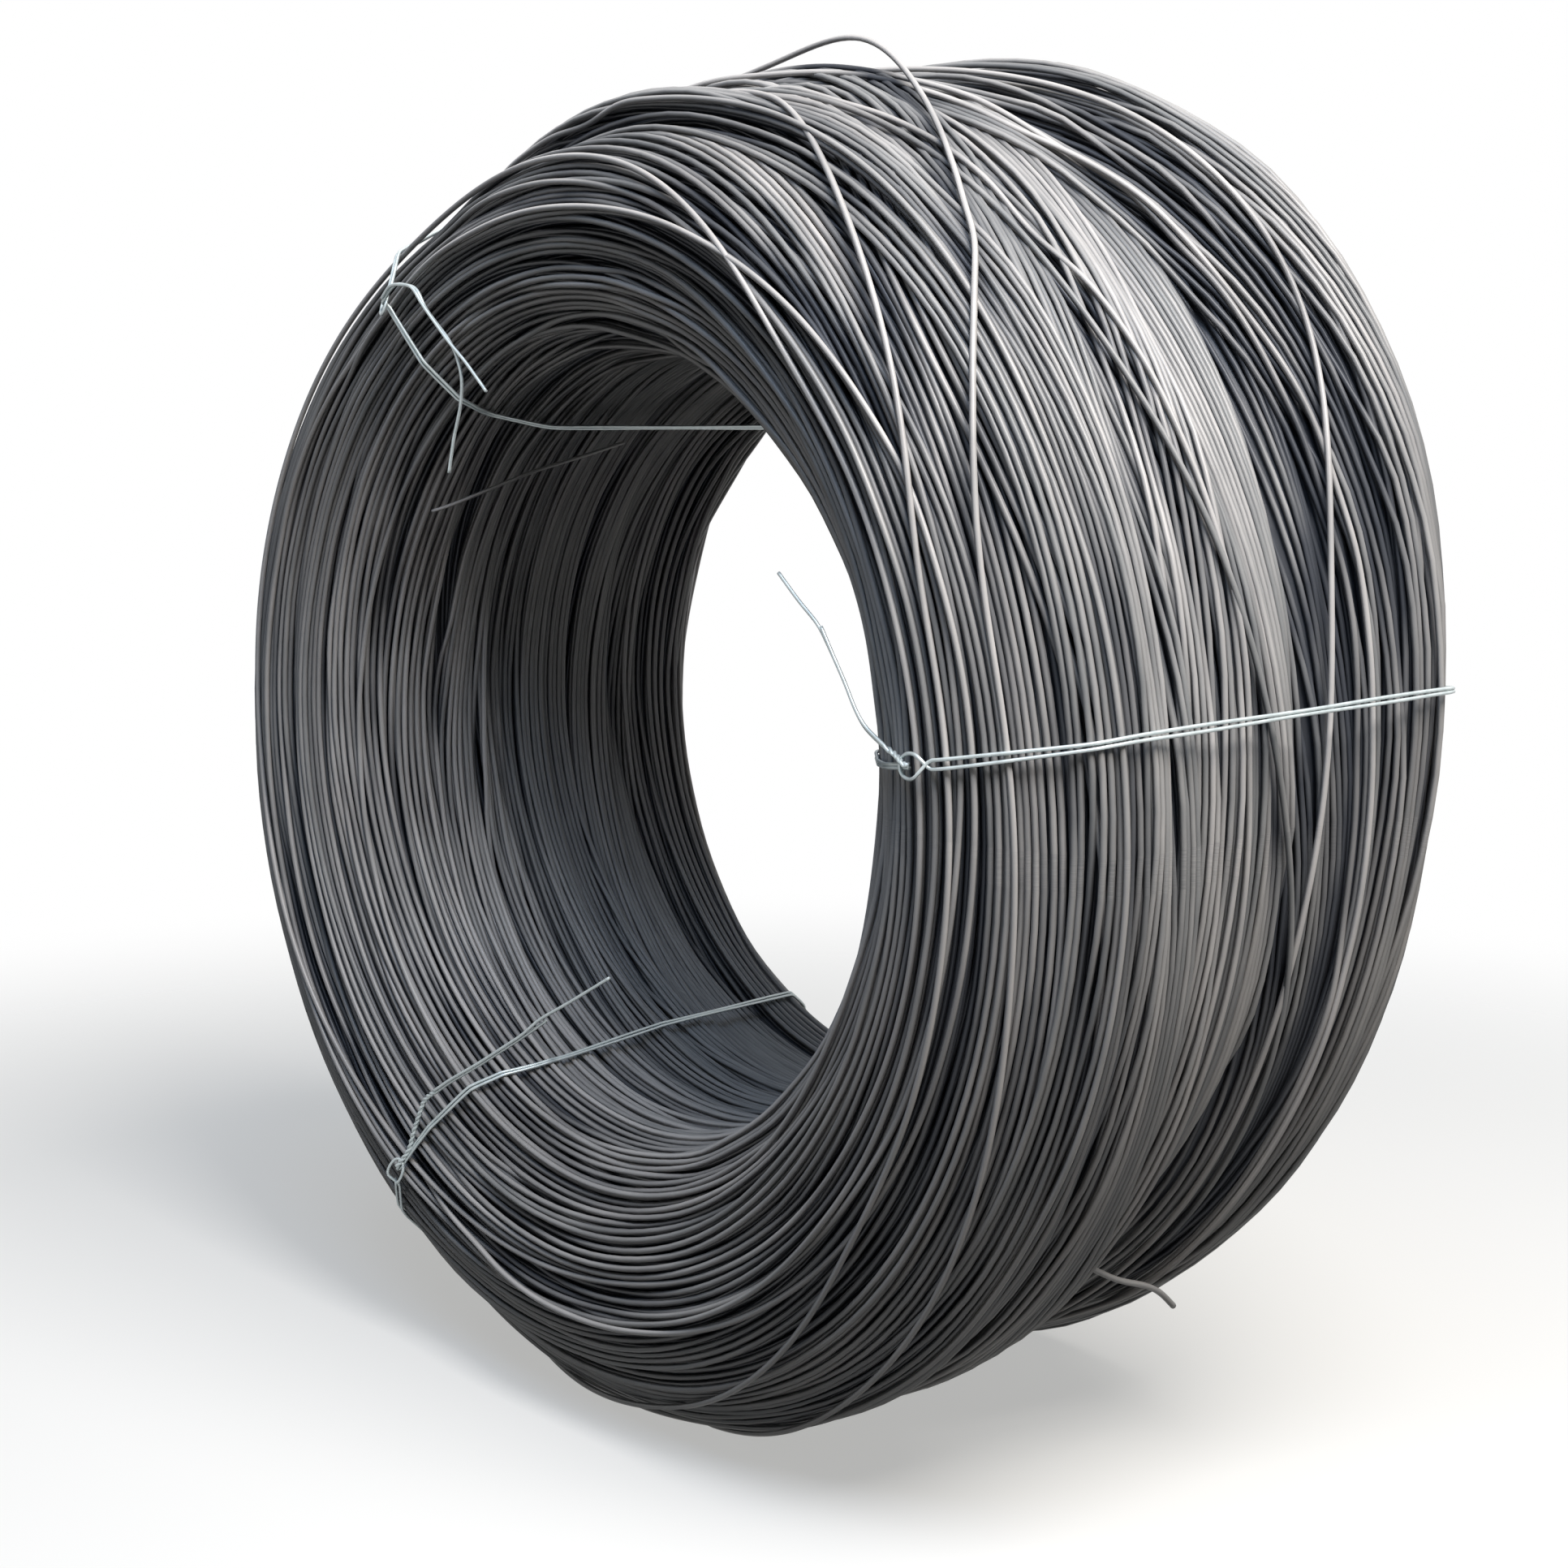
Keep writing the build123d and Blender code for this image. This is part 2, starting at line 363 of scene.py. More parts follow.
laid = 0
while laid < lay["second"]:
    count = int(random.integers(*lay["bundle"]))
    tries = [loosePath(lay["bundleWander"], lay["drift"]) for _ in range(lay["tries"])]
    path = tries[int(np.argmin([levelOf(tried, count) for tried in tries]))]
    tone = random.uniform(*lay["bundleTone"])
    spread = random.uniform(*lay["fan"])
    opening = np.sin((angle + random.uniform(*phases)) / 2) ** lay["fanPower"]
    fan = coil["rod"] * (lay["pitch"] + spread * opening)
    for k in [*range(0, count, 2), *range(1, count, 2)]:  # every other turn first, then those between
        own = wander(random.normal(0, lay["turnWander"])) * topLoose
        keepTurn(path + (k - count / 2) * fan + own, tone + random.normal(0, lay["toneSpread"]))
    laid += count
for _ in range(lay["singles"]):
    path = loosePath(lay["singleWander"], lay["singleDrift"])
    keepTurn(path, random.uniform(*lay["singleTone"]))
print("second lay:", laid, "turns in bundles and", lay["singles"], "alone")

# lone turns that stand out in front: (angle in degrees, u in mm) all the way round,
# and a lift in mm at one angle
strays = [
    dict(tone=0.75, lift=0, at=0, path=[
        (23.3, -274), (31.3, -251), (41.2, -229), (50.8, -207), (57.5, -189), (64.6, -170),
        (74.3, -139), (84, -115), (120, -60), (180, -50), (250, -149), (320, -262)]),
    dict(tone=0.8, lift=24, at=82, path=[
        (22.1, -235), (29.3, -216), (39.5, -182), (44.5, -163), (50.5, -131), (56.3, -99), (64.6, -46),
        (70.4, -9), (76, 22), (82, 38), (100, 24), (140, -20), (220, -80), (300, -175), (349, -227)]),
    dict(tone=0.8, lift=0, at=0, path=[
        (20.9, 78), (30.7, 107), (35.9, 124), (44, 131), (55.4, 122),
        (75, 100), (110, 82), (200, 70), (290, 45), (351, 40)]),
    dict(tone=0.1, lift=0, at=0, path=[
        (9.5, -20), (39, -75), (90, -100), (180, -90), (270, 0),
        (321, 66), (343.4, 50), (347.8, 43), (353.3, 32), (359.3, 14)]),
    dict(tone=0.8, lift=0, at=0, path=[
        (42.3, -293), (51, -284), (58.4, -268), (66.2, -259), (71.9, -252), (80.5, -243),
        (86.9, -241), (93.5, -239), (140, -222), (200, -268), (280, -302), (339, -295)]),
]
strayRest = dict(sag=0.5 * mm, passes=14, bridge=6 * mm)
strayPasses = 9  # rounds the corners of the paths
liftSpan = 9  # degrees
for stray in strays:
    degrees, place = np.array(stray["path"], float).T
    run = np.interp(np.degrees(angle), degrees, place, period=360) * mm + middleRun
    lift = stray["lift"] * mm * np.exp(-(awayFrom(stray["at"]) / liftSpan) ** 2)
    keepTurn(soften(run, strayPasses), stray["tone"], lift=lift, **strayRest)
runs, heights, tones = np.array(runs), np.array(heights), np.array(tones)
above = np.percentile((surface - packed - coil["inset"]) / mm, [1, 10, 50, 90, 99, 100]).round(1)
print("turns laid:", len(runs), "tops over the packed outline:", above, "mm")

# painted shade: how deep a turn lies sets how far its colour is darkened
shadow = dict(near=9 * mm, rods=1.9)  # how far away tops are looked for, and the depth that looks darkest


# how far a turn lies below the highest turns near it, as a share of the depth painted darkest
def shadeOf(runs, heights):
    reach = int(shadow["near"] / step)
    envelope = np.max([np.roll(surface, k, 0) for k in range(-reach, reach + 1, 2)], axis=0)
    envelope = (envelope + np.roll(envelope, reach, 0) + np.roll(envelope, -reach, 0)) / 3
    here = envelope[cellAt(runs), columns[None, :]]
    return np.clip((here - heights - rodRadius) / (shadow["rods"] * coil["rod"]), 0, 1)


# rings of points round each path: centre + radius x (cos a x normal + sin a x binormal);
# open ends get flat caps of quads
def tubes(paths, across, radius, sides, closed):
    if closed:
        along = np.roll(paths, -1, 1) - np.roll(paths, 1, 1)
    else:
        along = np.gradient(paths, axis=1)
    along = unit(along)
    normal = unit(across - (across * along).sum(-1, keepdims=True) * along)
    binormal = np.cross(along, normal)
    turn = np.arange(sides) * 2 * math.pi / sides
    ring = np.cos(turn)[:, None] * normal[:, :, None, :] + np.sin(turn)[:, None] * binormal[:, :, None, :]
    points = paths[:, :, None, :] + radius * ring
    index = np.arange(points[..., 0].size).reshape(points.shape[:3])
    ahead = np.roll(index, -1, 1)
    quads = np.stack([index, np.roll(index, -1, 2), np.roll(ahead, -1, 2), ahead], -1)
    if closed:
        return points, quads.reshape(-1, 4)
    k = np.arange((sides - 2) // 2)
    cap = np.stack([k, k + 1, sides - 2 - k, sides - 1 - k], 1)
    first = index[:, 0, :][:, cap[:, ::-1]]
    last = index[:, -1, :][:, cap]
    return points, np.concatenate([part.reshape(-1, 4) for part in (quads[:, :-1], first, last)])


# the Mix node's sockets: numbers in, colours in, and the colour out
mixA, mixB = 2, 3
colourA, colourB, colourOut = 6, 7, 2


# an empty material and its node tree
def newMaterial(name):
    material = bpy.data.materials.new(name)
    material.use_nodes = True
    material.node_tree.nodes.clear()
    return material, material.node_tree


millScale = dict(
    dull="#828383",
    bright="#bfbcb9",
    # painted shade: the dark colour that turns lying below the others are mixed towards
    deep="#3e4147",  # turns that lie below the others
    rust="#6b5448",
    rustFrom=(0.6, 0.85),  # the noise where rust starts, and where it is strongest
    rustMost=0.2,
    streak=1000 / 14,  # mm: fourteen paler streaks to a metre of rod
    streakShare=0.9,  # how far a streak changes a turn's tone
    apart=613.0,  # sets turns of nearly the same tone far apart in the noise
    patch=200,  # mm across a patch of rust
    grain=1.1111,  # mm: real scale is far finer, this is as coarse as it needs to show
    grainDepth=0.2 * mm,
    grainShare=0.25,
    roughFrom=(0.3, 0.7),
    rough=(0.3, 0.42),
    metallic=0.06,  # the scale hides nearly all the metal
    specular=0.2,
)


# mill scale on hot rolled rod: satin grey turns of differing tone, with paler streaks along each,
# faintly rusted, and painted shade on turns that lie below the others
def rodMaterial():
    material, tree = newMaterial("mill_scale_steel")
    tone = addNode(tree, "ShaderNodeAttribute", dict(attribute_name="tone"))
    along = addNode(tree, "ShaderNodeAttribute", dict(attribute_name="along"))
    shade = addNode(tree, "ShaderNodeAttribute", dict(attribute_name="shade"))
    place = addNode(tree, "ShaderNodeTexCoord").outputs["Object"]
    far = addNode(tree, "ShaderNodeMath", dict(operation="MULTIPLY"), {
        0: tone.outputs["Fac"], 1: millScale["apart"]})
    strip = addNode(tree, "ShaderNodeCombineXYZ", None, {
        "X": along.outputs["Fac"], "Y": far.outputs[0]})
    streak = addNode(tree, "ShaderNodeTexNoise", None, {
        "Vector": strip.outputs[0], "Scale": 1 / (millScale["streak"] * mm), "Detail": 3.0})
    patch = addNode(tree, "ShaderNodeTexNoise", None, {
        "Vector": place, "Scale": 1 / (millScale["patch"] * mm), "Detail": 2.0})
    grain = addNode(tree, "ShaderNodeTexNoise", None, {
        "Vector": place, "Scale": 1 / (millScale["grain"] * mm), "Detail": 2.0})
    change = addNode(tree, "ShaderNodeMath", dict(operation="MULTIPLY_ADD"), {
        0: streak.outputs["Fac"], 1: millScale["streakShare"], 2: -millScale["streakShare"] / 2})
    level = addNode(tree, "ShaderNodeMath", dict(operation="ADD", use_clamp=True), {
        0: tone.outputs["Fac"], 1: change.outputs[0]})
    steel = addNode(tree, "ShaderNodeMix", dict(data_type="RGBA"), {
        "Factor": level.outputs[0],
        colourA: hexColour(millScale["dull"]), colourB: hexColour(millScale["bright"])})
    rusty = addNode(tree, "ShaderNodeMapRange", None, {
        "Value": patch.outputs["Fac"], "From Min": millScale["rustFrom"][0],
        "From Max": millScale["rustFrom"][1], "To Max": millScale["rustMost"]})
    stained = addNode(tree, "ShaderNodeMix", dict(data_type="RGBA"), {
        "Factor": rusty.outputs[0],
        colourA: steel.outputs[colourOut], colourB: hexColour(millScale["rust"])})
    # painted shade: each turn is mixed towards the dark colour by its shade, how far it lies below the tops
    # near it
    deep = addNode(tree, "ShaderNodeMix", dict(data_type="RGBA"), {
        "Factor": shade.outputs["Fac"],
        colourA: stained.outputs[colourOut], colourB: hexColour(millScale["deep"])})
    rough = addNode(tree, "ShaderNodeMapRange", None, {
        "Value": streak.outputs["Fac"], "From Min": millScale["roughFrom"][0],
        "From Max": millScale["roughFrom"][1], "To Min": millScale["rough"][0],
        "To Max": millScale["rough"][1]})
    bump = addNode(tree, "ShaderNodeBump", None, {
        "Height": grain.outputs["Fac"], "Strength": millScale["grainShare"],
        "Distance": millScale["grainDepth"]})
    shader = addNode(tree, "ShaderNodeBsdfPrincipled", None, {
        "Base Color": deep.outputs[colourOut], "Metallic": millScale["metallic"],
        "Specular IOR Level": millScale["specular"], "Roughness": rough.outputs[0],
        "Normal": bump.outputs[0]})
    addNode(tree, "ShaderNodeOutputMaterial", None, {"Surface": shader.outputs[0]})
    return material


zincCoat = dict(
    dull="#aebabb",
    bright="#e2eaea",
    patch=8.3333,  # mm across a dull patch
    rough=(0.25, 0.5),
    metallic=0.45,
)


# galvanised wire, drawn and dipped in zinc: bright pale grey with a cool tint and dull patches
def tieMaterial():
    material, tree = newMaterial("galvanised_wire")
    place = addNode(tree, "ShaderNodeTexCoord").outputs["Object"]
    dull = addNode(tree, "ShaderNodeTexNoise", None, {
        "Vector": place, "Scale": 1 / (zincCoat["patch"] * mm), "Detail": 3.0})
    zinc = addNode(tree, "ShaderNodeMix", dict(data_type="RGBA"), {
        "Factor": dull.outputs["Fac"],
        colourA: hexColour(zincCoat["dull"]), colourB: hexColour(zincCoat["bright"])})
    rough = addNode(tree, "ShaderNodeMapRange", None, {
        "Value": dull.outputs["Fac"], "To Min": zincCoat["rough"][0], "To Max": zincCoat["rough"][1]})
    shader = addNode(tree, "ShaderNodeBsdfPrincipled", None, {
        "Base Color": zinc.outputs[colourOut], "Metallic": zincCoat["metallic"],
        "Roughness": rough.outputs[0]})
    addNode(tree, "ShaderNodeOutputMaterial", None, {"Surface": shader.outputs[0]})
    return material


rodSteel = rodMaterial()
galvanised = tieMaterial()
print("materials:", rodSteel.name, "and", galvanised.name)

# the turns as meshes, shared out by the part of the section where they lie: name and the run at its end
regions = [
    ("turns_front_inner", frontRun / 2),
    ("turns_front_outer", frontRun),
    ("turns_outside_front", frontRun + shoulder),
    ("turns_outside_back", frontRun + 2 * shoulder),
    ("turns_back_outer", 1.5 * frontRun + 2 * shoulder),
    ("turns_back_inner", 2 * frontRun + 2 * shoulder),
    ("turns_bore_back", girth - shoulder),
    ("turns_bore_front", girth),
]
home = np.mod(runs.mean(1), girth)
alone = np.arange(len(runs)) >= len(runs) - len(strays) - lay["singles"]
aloneTimes = 3  # lone turns have this many times the points
total = 0


# more points round each turn, by the same waves sampled more often
def finer(values, times):
    return np.fft.irfft(np.fft.rfft(values, axis=1), values.shape[1] * times, axis=1) * times


# the chosen turns as one mesh of closed tubes, each with its tone, the length along it and its painted shade
def addTurns(name, chosen, times):
    paths, normal = onCoil(runs[chosen], heights[chosen], angle[None, :])
    across = finer(outwards(normal, angle[None, :]), times)
    shade = finer(shadeOf(runs[chosen], heights[chosen]), times)
    paths = finer(paths, times)
    paths[..., 2] = np.maximum(paths[..., 2], rodRadius)  # none goes below the floor
    points, quads = tubes(paths, across, rodRadius, coil["sides"], True)
    length = np.linalg.norm(paths - np.roll(paths, 1, 1), axis=-1).cumsum(1)
    rings = dict(tone=tones[chosen][:, None], along=length, shade=shade)
    attributes = {key: np.broadcast_to(value[..., None], points.shape[:3]) for key, value in rings.items()}
    piece = makeMesh(name, points, quads, attributes, rodSteel)
    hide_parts("wire_coil")
    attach(piece, "root")
    print(name, int(chosen.sum()), "turns,", 2 * len(quads), "triangles")
    return 2 * len(quads)


low = 0.0
for name, high in regions:
    total += addTurns(name, (home >= low) & (home < high) & ~alone, 1)
    low = high
total += addTurns("turns_alone", alone, aloneTimes)

beneath = dict(points=96, ridge=0.2 * mm, valley=2.2 * mm, tone=0.1)


# the turns beneath, as one lathe of ridges one rod apart: the ground less the valley at every other run
def deepTurns():
    count = int(girth / coil["rod"]) * 2
    run = np.arange(count) * girth / count
    around = np.arange(beneath["points"]) * 2 * math.pi / beneath["points"]
    sunk = np.where(np.arange(count) % 2, beneath["valley"], beneath["ridge"])
    depth = ground[cellAt(run)[:, None], columnAt(around)[None, :]] - sunk[:, None]
    points, _ = onCoil(run[:, None] + 0 * around[None, :], depth, around[None, :] + 0 * run[:, None])
    index = np.arange(points[..., 0].size).reshape(points.shape[:2])
    ahead = np.roll(index, -1, 0)
    quads = np.stack([ahead, np.roll(ahead, -1, 1), np.roll(index, -1, 1), index], -1).reshape(-1, 4)
    return points, quads


points, quads = deepTurns()
tone = np.full(points.shape[:2], beneath["tone"])
# painted shade: full shade all over, so the turns beneath show only the dark shade colour
attributes = dict(tone=tone, along=tone, shade=np.ones(points.shape[:2]))
deep = makeMesh("turns_beneath", points, quads, attributes, rodSteel)
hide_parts("wire_coil")
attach(deep, "root")
total += 2 * len(quads)
print("turns beneath,", 2 * len(quads), "triangles")

# ties: each is one wire folded double round the wall, its two ends drawn through its own eye
tie = dict(
    wire=3.0 * mm,  # diameter
    sides=8,
    gap=1.65 * mm,  # half the spacing of the two strands
    gapWave=0.35 * mm,  # how unevenly they lie side by side
    gapWaveLength=31 * mm,  # over one radian
    closing=160 * mm,  # how fast the strands close up behind the eye
    spacing=3.4 * mm,  # one step along the wire
    strandPoints=700,
    strandEnd=3 * mm,  # how far short of its own start a strand stops
    strandPasses=90,  # smooths its way round the wall
    mouth=48,  # degrees: the strands cross as they enter the eye
    eyePoints=60,
    eyeRise=(0.4 * mm, 3.6 * mm),  # the wire climbs over itself round the eye
    through=[(-4, 1), (-2, 6)],  # mm along and off the wall, where the ends come up through the eye
    tailPasses=60,  # rounds the corners of the tails
    wholePasses=5,
    twistPitch=13 * mm,
)
wireRadius = tie["wire"] / 2
fineStep = 1.2 * mm  # step at which paths are rounded
# lean: (u in mm, angle in degrees) round the wall; eye: mm from the core's middle; long and wide: half sizes
# of the eye; spread: half the gap of the strands beside it; twist: mm of tail that is twisted;
# tails: (mm from the core's middle, station in mm, angle in degrees)
ties = {
    "tie_right": dict(
        eye=452, long=18, wide=9.5, spread=3.2, twist=34,
        lean=[(-347, 5.2), (-316, 5.8), (-232, 7.3), (-152, 8.4), (150, 9.0), (400, 8.5), (650, 5.5)],
        tails=[
            [(442, -250, 8.6), (431, -250, 9.3), (418, -249, 10.7), (409, -249, 11.7), (401, -249, 14.1),
             (396, -248, 16.5), (389, -248, 20.0), (381, -247, 24.4), (368, -247, 28.2), (357, -246, 33.0)],
            [(442, -250, 8.6), (431, -250, 9.3), (418, -249, 10.7), (409, -249, 11.7), (401, -249, 14.1),
             (396, -248, 16.5), (389, -248, 20.0), (383, -247, 23.8)],
        ]),
    "tie_upper_left": dict(
        eye=505, long=15, wide=8, spread=2.6, twist=10,
        lean=[(-632, 125.3), (-507, 126.3), (-433, 124), (-388, 122), (-347, 121.6), (-253, 121), (0, 120),
              (250, 121)],
        tails=[
            [(487, -256, 117.4), (469, -256, 113.6), (448, -256, 112.7), (401, -252, 109.7),
             (380, -249, 107.8), (346, -246, 104.7)],
            [(485, -256, 117.0), (465, -256, 113.4), (444, -256, 113.0), (401, -253, 109.9),
             (384, -251, 109.6), (367, -249, 110.0), (346, -247, 112.5), (328, -246, 116.3),
             (304, -246, 120.5)],
        ]),
    "tie_lower_left": dict(
        eye=482, long=15, wide=9, spread=4.2, twist=110,
        lean=[(-641, 242.7), (-500, 245.6), (-440, 246.6), (-400, 245), (-368, 242.4), (-280, 239), (0, 239),
              (250, 240)],
        tails=[
            [(455, -250, 238.8), (438, -250, 238.3), (394, -248, 237.6), (351, -246, 241.0),
             (308, -242, 246.1), (250, -237, 256.1), (230, -234, 259.8), (203, -230, 270.5),
             (181, -226, 287.6)],
            [(455, -250, 238.8), (438, -250, 238.3), (394, -248, 237.6), (351, -246, 241.0),
             (308, -242, 246.1), (250, -237, 256.1), (228, -233, 261.3)],
        ]),
}


# each inner point of an open path averaged with its two neighbours, counted twice itself
def softenOpen(values, passes):
    for _ in range(passes):
        values[1:-1] = (values[:-2] + 2 * values[1:-1] + values[2:]) / 4
    return values


# points along a path at the given lengths
def pointsAt(lengths, run, points):
    return np.stack([np.interp(lengths, run, points[:, k]) for k in range(3)], 1)


# a path in even steps
def evenSteps(points, spacing):
    run = lengthAlong(points)
    return pointsAt(np.linspace(0, run[-1], int(run[-1] / spacing) + 2), run, points)


# a path in fine even steps, with its corners rounded, and then in even steps of the spacing
def evenPath(points, spacing, passes):
    return evenSteps(softenOpen(evenSteps(points, fineStep), passes), spacing)


# a direction square to the path: the path's own crossed with the fixed direction least in line with it
def steadyAcross(path):
    along = unit(np.gradient(path, axis=0))
    fixed = unit(np.random.default_rng(3).normal(size=(80, 3)))
    best = fixed[np.argmin(np.abs(along @ fixed.T).max(0))]
    return np.cross(along, best)


# a round wire with flat ends along a path, with one number for each attribute
def openTube(name, path, radius, sides, material, attributes):
    points, quads = tubes(path[None], steadyAcross(path)[None], radius, sides, False)
    values = {key: np.full(points.shape[:3], value) for key, value in attributes.items()}
    return makeMesh(name, points, quads, values, material)


# (radius, station, degrees) about the core's middle, to the frame
def atFront(place):
    radius, station, degrees = np.array(place, float).T
    turn = np.radians(degrees)
    return np.stack([radius * mm * np.cos(turn), station * mm, coreRadius + radius * mm * np.sin(turn)], -1)


# (degrees, u, height) on the outside, to the frame
def overCore(place):
    degrees, u, height = np.array(place, float).T
    run = u * mm + middleRun
    turn = np.radians(degrees)
    return onCoil(run, packed[cellAt(run), columnAt(turn)] + height * mm, turn)[0]


# the tight loop round the wall, its angle changing with the run: the point of the section that is
# furthest in each direction, one wire radius off
def tieLoop(lean):
    place, degrees = np.array(lean, float).T
    cells = np.arange(coil["cells"])
    turn = np.radians(np.interp((cells * step - middleRun) / mm, place, degrees, period=girth / mm))
    near = np.max([surface[cells, (columnAt(turn) + k) % coil["angles"]] for k in (-1, 0, 1)], axis=0)
    flat = section + sectionNormal * near[:, None]
    look = np.radians(np.arange(0, 360, 0.5))
    ways = np.stack([np.cos(look), np.sin(look)], 1)
    touched = np.argmax(flat @ ways.T, axis=0)
    hull = flat[touched] + ways * wireRadius
    return fromFlat(hull[:, 0], hull[:, 1], turn[touched]), outwards(ways, turn[touched]), turn[touched]


# one strand along the loop from the far end of the eye, its way round the axis smoothed
def tieStrand(loop, form):
    ring = np.concatenate([loop, loop[:1]])
    run = lengthAlong(ring)
    kept = np.linspace(form["long"] * mm, run[-1] - tie["strandEnd"], tie["strandPoints"])
    strand = pointsAt(kept, run, ring)
    reach = np.hypot(strand[:, 0], strand[:, 2] - coreRadius)
    swing = softenOpen(np.unwrap(np.arctan2(strand[:, 2] - coreRadius, strand[:, 0])), tie["strandPasses"])
    strand = np.stack([reach * np.cos(swing), strand[:, 1], coreRadius + reach * np.sin(swing)], 1)
    return strand, kept


# one end drawn through the eye: a helix about its middle line, twice the gap across, until the twist stops
def tieTail(tail, begin, twist, side):
    middle = evenPath(np.concatenate([begin, atFront(tail)]), fineStep, tie["tailPasses"])
    length = np.linspace(0, 1, len(middle)) * lengthAlong(middle)[-1]
    phase = 2 * math.pi * np.minimum(length, twist * mm) / tie["twistPitch"] + (0 if side > 0 else math.pi)
    across = unit(steadyAcross(middle))
    other = np.cross(unit(np.gradient(middle, axis=0)), across)
    return middle + tie["gap"] * (np.cos(phase)[:, None] * across + np.sin(phase)[:, None] * other)


# the whole wire: tail, strand, the oval eye (cos a x long + sin a x wide, climbing), strand, tail
def tiePath(form):
    loop, away, turn = tieLoop(form["lean"])
    radius = np.linalg.norm((loop - np.array([0, 0, coreRadius]))[:, [0, 2]], axis=1)
    start = np.argmin(np.abs(radius - form["eye"] * mm) + np.where(loop[:, 1] < -shoulder, 0, 1))
    out = np.array([math.cos(turn[start]), 0, math.sin(turn[start])])
    sideways = np.array([-math.sin(turn[start]), 0, math.cos(turn[start])])
    eye, normal = loop[start], away[start]
    tangent = unit(np.cross(normal, sideways))
    tangent = tangent * np.sign(tangent @ out)
    strand, kept = tieStrand(np.roll(loop, -start, 0), form)
    opened = (form["spread"] * mm - tie["gap"]) * np.exp(-(kept - kept[0]) / tie["closing"])
    gap = tie["gap"] + opened + tie["gapWave"] * np.sin(kept / tie["gapWaveLength"])
    left, right = (strand + sideways * side * gap[:, None] for side in (-1, 1))
    about = np.radians(np.linspace(tie["mouth"], 360 - tie["mouth"], tie["eyePoints"]))
    oval = eye + np.outer(np.cos(about), tangent) * form["long"] * mm
    oval = oval + np.outer(np.sin(about), sideways) * form["wide"] * mm
    oval = oval + np.outer(np.linspace(*tie["eyeRise"], tie["eyePoints"]), normal)
    begin = [eye + tangent * ahead * mm + normal * off * mm for ahead, off in tie["through"]]
    ends = [tieTail(tail, begin, form["twist"], side) for side, tail in zip((-1, 1), form["tails"])]
    whole = np.concatenate([ends[0][::-1], left[::-1], oval, right, ends[1]])
    return evenPath(whole, tie["spacing"], tie["wholePasses"])


for name, form in ties.items():
    piece = openTube(name, tiePath(form), wireRadius, tie["sides"], galvanised, {})
    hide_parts(name.replace("tie_", "tie_wire_"))
    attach(piece, "root")
    count = 2 * len(piece.data.polygons)
    total += count
    print(name, count, "triangles")

# loose ends of rod: the first as (radius, station, angle), the second as (angle, u, height over the core)
borePath = atFront([
    (355, -182, 141.4), (350, -172, 139.9), (344, -140, 135.4), (342, -104, 130.9),
    (344, -77, 129.4), (349, -40, 128.0), (356, 0, 126.6)])
floorPath = overCore([
    (-40.5, -46, -2), (-41.2, -20, 9), (-42, 0, 17), (-42.6, 20, 22),
    (-43.2, 44, 26), (-44.5, 70, 32), (-46, 92, 42)])
looseEnds = {
    "rod_end_bore": dict(rod=3.4, tone=0.95, path=borePath),
    "rod_end_floor": dict(rod=5.5, tone=0.4, path=floorPath),
}
endWire = dict(spacing=4 * mm, passes=160, sides=8)
for name, form in looseEnds.items():
    path = evenPath(form["path"], endWire["spacing"], endWire["passes"])
    attributes = dict(tone=form["tone"], along=0.0, shade=0.0)
    piece = openTube(name, path, form["rod"] * mm / 2, endWire["sides"], rodSteel, attributes)
    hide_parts("wire_coil")
    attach(piece, "root")
    count = 2 * len(piece.data.polygons)
    total += count
    print(name, count, "triangles")
print("all triangles:", total)

stage = dict(
    size=4.0,  # half the floor's width
    floor="#f4f4f2",
    bounce="#3a3a3a",  # what the floor throws back on to the coil
    glow=0.5,  # share of the floor's own paleness
    nearEdge=1.1,  # the floor starts to fade here
    farEdge=2.4,  # and is gone here
    sky=0.12,
    ground=0.02,
    horizon=(-0.1, 0.8),  # heights between which the sky's light grows
    skyTint="#dbe6f2",
)


# pale studio floor, which throws back less light than it shows and fades into the white round it
def floorMaterial():
    material, tree = newMaterial("studio_floor")
    path = addNode(tree, "ShaderNodeLightPath")
    seen = addNode(tree, "ShaderNodeMath", dict(operation="MAXIMUM"), {
        0: path.outputs["Is Camera Ray"], 1: path.outputs["Is Glossy Ray"]})
    colour = addNode(tree, "ShaderNodeMix", dict(data_type="RGBA"), {
        "Factor": seen.outputs[0],
        colourA: hexColour(stage["bounce"]), colourB: hexColour(stage["floor"])})
    lit = addNode(tree, "ShaderNodeBsdfDiffuse", None, {"Color": colour.outputs[colourOut]})
    glow = addNode(tree, "ShaderNodeEmission", None, {
        "Color": hexColour(stage["floor"]), "Strength": seen.outputs[0]})
    pale = addNode(tree, "ShaderNodeMixShader", None, {
        0: stage["glow"], 1: lit.outputs[0], 2: glow.outputs[0]})
    place = addNode(tree, "ShaderNodeTexCoord").outputs["Object"]
    away = addNode(tree, "ShaderNodeVectorMath", dict(operation="LENGTH"), {0: place})
    edge = addNode(tree, "ShaderNodeMapRange", dict(interpolation_type="SMOOTHSTEP"), {
        "Value": away.outputs["Value"], "From Min": stage["nearEdge"], "From Max": stage["farEdge"]})
    clear = addNode(tree, "ShaderNodeBsdfTransparent")
    shader = addNode(tree, "ShaderNodeMixShader", None, {
        0: edge.outputs[0], 1: pale.outputs[0], 2: clear.outputs[0]})
    addNode(tree, "ShaderNodeOutputMaterial", None, {"Surface": shader.outputs[0]})
    return material


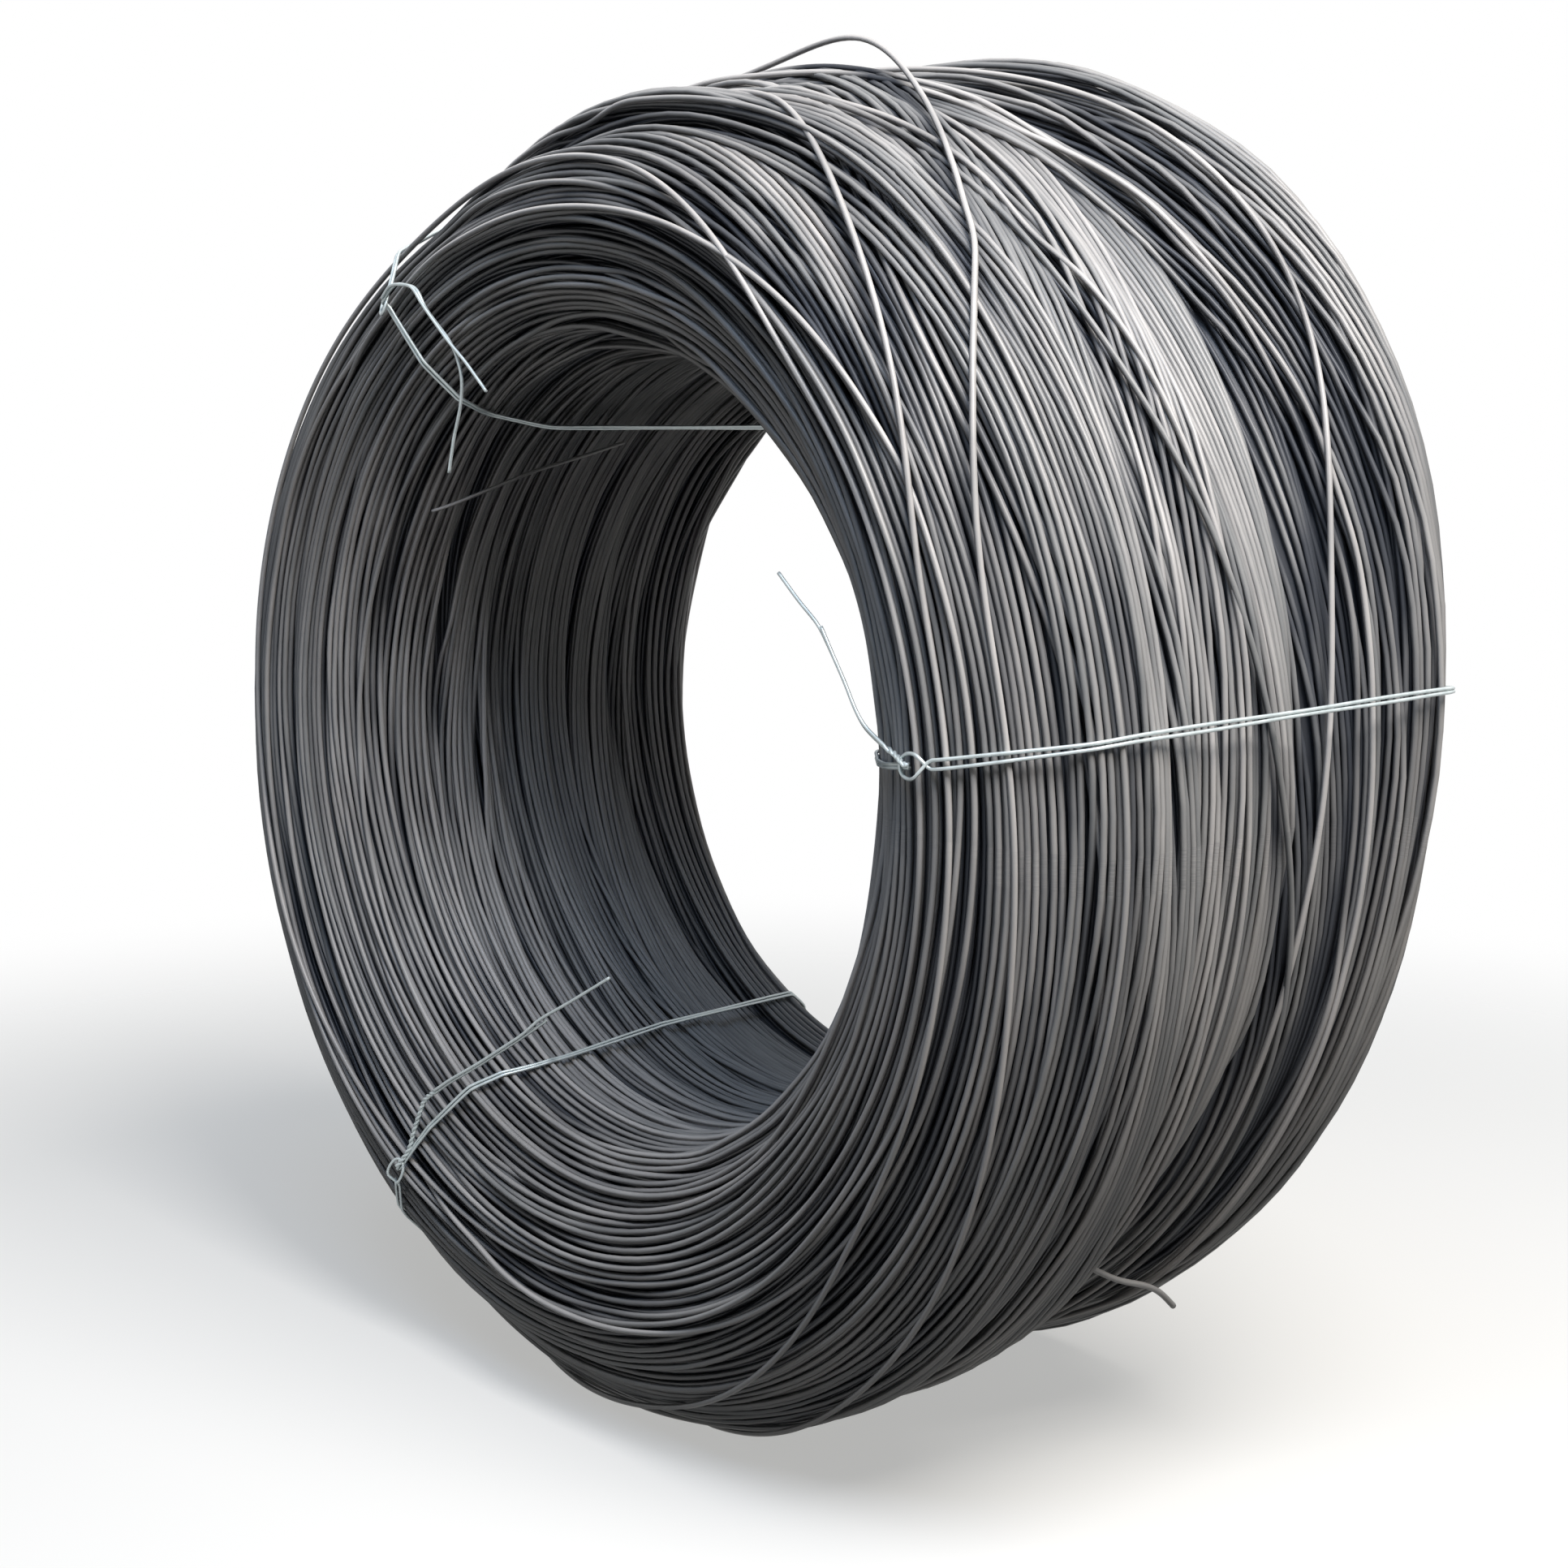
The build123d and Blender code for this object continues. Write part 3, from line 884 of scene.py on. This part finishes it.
# a flat floor, and a world that is white to the camera and to reflections but lights dimly from above
def buildStage():
    size = stage["size"]
    corners = np.array([[-size, -size, 0], [size, -size, 0], [size, size, 0], [-size, size, 0]])
    floor = makeMesh("floor", corners, np.array([[0, 1, 2, 3]]), {}, floorMaterial())
    world = bpy.data.worlds.new("studio")
    bpy.context.scene.world = world
    world.use_nodes = True
    tree = world.node_tree
    tree.nodes.clear()
    path = addNode(tree, "ShaderNodeLightPath")
    seen = addNode(tree, "ShaderNodeMath", dict(operation="MAXIMUM"), {
        0: path.outputs["Is Camera Ray"], 1: path.outputs["Is Glossy Ray"]})
    clear = addNode(tree, "ShaderNodeMath", dict(operation="MAXIMUM"), {
        0: seen.outputs[0], 1: path.outputs["Is Transmission Ray"]})
    place = addNode(tree, "ShaderNodeTexCoord").outputs["Generated"]
    way = addNode(tree, "ShaderNodeSeparateXYZ", None, {0: place})
    above = addNode(tree, "ShaderNodeMapRange", None, {
        "Value": way.outputs["Z"], "From Min": stage["horizon"][0], "From Max": stage["horizon"][1],
        "To Min": stage["ground"], "To Max": stage["sky"]})
    strength = addNode(tree, "ShaderNodeMix", None, {
        "Factor": clear.outputs[0], mixA: above.outputs[0], mixB: 1.0})
    colour = addNode(tree, "ShaderNodeMix", dict(data_type="RGBA"), {
        "Factor": clear.outputs[0], colourA: hexColour(stage["skyTint"]), colourB: (1, 1, 1, 1)})
    sky = addNode(tree, "ShaderNodeBackground", None, {
        "Color": colour.outputs[colourOut], "Strength": strength.outputs[0]})
    addNode(tree, "ShaderNodeOutputWorld", None, {"Surface": sky.outputs[0]})


lamps = {
    "key": dict(place=(2.1, -0.35, 3.4), towards=(0, 0, 0.6), size=1.8, power=197.0, tint="#fffaf5"),
    "fill": dict(place=(1.1, -1.6, 4.2), towards=(0, 0, 0.5), size=2.0, power=64.0, tint="#bfd7f8"),
}


# a square soft light turned to a point
def areaLight(name, lamp):
    data = bpy.data.lights.new(name, "AREA")
    data.size = lamp["size"]
    data.energy = lamp["power"]
    data.color = hexColour(lamp["tint"])[:3]
    made = bpy.data.objects.new(name, data)
    bpy.context.scene.collection.objects.link(made)
    made.location = lamp["place"]
    aim = np.array(lamp["towards"]) - np.array(lamp["place"])
    tilt = math.acos(-aim[2] / np.linalg.norm(aim))
    made.rotation_euler = (tilt, 0, math.atan2(aim[1], aim[0]) - math.pi / 2)


# degrees, metres, the lens in mm, and how far right and up of the middle the camera looks
view = dict(
    azimuth=48.66,
    elevation=8.5,
    distance=2.36,
    lens=57.85,
    sensor=36,
    aim=(0.0176, -0.0291),
    height=0.59,
)


# the camera on a circle round the coil's middle, looking a little off it
def buildCamera():
    a, e = math.radians(view["azimuth"]), math.radians(view["elevation"])
    back = np.array([math.sin(a) * math.cos(e), -math.cos(a) * math.cos(e), math.sin(e)])
    right = np.array([math.cos(a), math.sin(a), 0])
    up = np.cross(back, right)
    target = np.array([0, 0, view["height"]]) + right * view["aim"][0] + up * view["aim"][1]
    data = bpy.data.cameras.new("camera")
    data.lens = view["lens"]
    data.sensor_width = view["sensor"]
    made = bpy.data.objects.new("camera", data)
    bpy.context.scene.collection.objects.link(made)
    made.location = target + back * view["distance"]
    made.rotation_euler = (math.pi / 2 - e, 0, a)
    bpy.context.scene.camera = made


buildStage()
for name, lamp in lamps.items():
    areaLight(name, lamp)
buildCamera()
bpy.context.scene.view_settings.view_transform = "Standard"
print("stage, lights and camera set")
